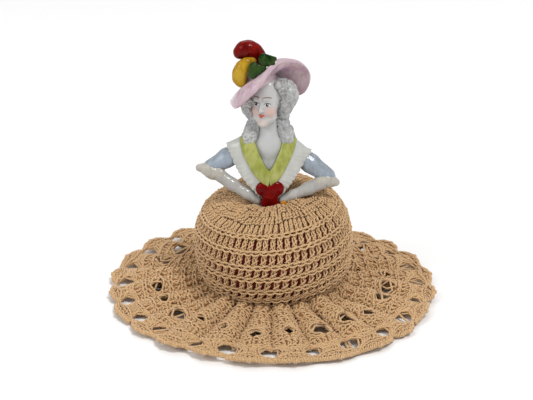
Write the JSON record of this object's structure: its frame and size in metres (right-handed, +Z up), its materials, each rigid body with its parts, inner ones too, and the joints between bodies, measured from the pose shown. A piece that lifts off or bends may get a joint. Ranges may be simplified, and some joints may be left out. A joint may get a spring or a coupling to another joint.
{
  "type": "pin cushion",
  "caption": "Half-doll pincushion: a glazed porcelain lady sewn into a crochet-covered stuffed ball on a wide lacy crocheted brim.",
  "frame": {"origin": "on the table under the middle of the crocheted brim", "axes": "+Z up out of the table, -Y towards the side the doll faces, +X to the right of a viewer in front of the doll"},
  "size_m": [0.15, 0.15, 0.1169],
  "materials": {
    "porcelain_skin": "clear glaze over white porcelain, face painted by hand",
    "porcelain_hair": "clear glaze with a grey wash in the hollows",
    "hat_pink": "brushed pink enamel under glaze",
    "hat_crown": "pale pink enamel under glaze",
    "plume_red": "deep red enamel, glossy",
    "plume_yellow": "yellow enamel shading to amber, glossy",
    "leaf_green": "dark green enamel, glossy",
    "fichu_white": "clear glaze over white porcelain",
    "ribbon_yellow": "yellow-green enamel brushed along the ribbon",
    "bow_red": "red enamel, glossy",
    "bud_amber": "amber enamel, glossy",
    "sleeve_blue": "pale blue-grey enamel under glaze",
    "crochet_cotton": "mercerised crochet cotton, tan",
    "sewing_thread": "waxed linen thread",
    "cushion_cloth": "dark red woven cotton",
    "stuffing": "firm wool and sawdust stuffing",
    "card": "grey-brown board"
  },
  "bodies": {
    "root": {"doll_torso": "porcelain_skin", "doll_head": "porcelain_skin", "hair": "porcelain_hair", "left_ringlets": "porcelain_hair", "right_ringlets": "porcelain_hair", "hat_brim": "hat_pink", "hat_crown": "hat_crown", "red_plume": "plume_red", "yellow_plume": "plume_yellow", "hat_leaves": "leaf_green", "fichu_frill": "fichu_white", "fichu_ribbon": "ribbon_yellow", "bow": "bow_red", "posy_bud": "bud_amber", "left_sleeve": "sleeve_blue", "right_sleeve": "sleeve_blue", "left_cuff": "fichu_white", "right_cuff": "fichu_white", "left_forearm": "porcelain_skin", "right_forearm": "porcelain_skin", "sewing_stitches": "sewing_thread", "gathering_cord": "crochet_cotton", "crochet_cover": "crochet_cotton", "crochet_brim": "crochet_cotton", "lace_edging": "crochet_cotton", "cushion_cover": "cushion_cloth", "cushion_filling": "stuffing", "base_card": "card", "base_cover": "cushion_cloth", "base_stitching": "sewing_thread"}
  },
  "joints": []
}
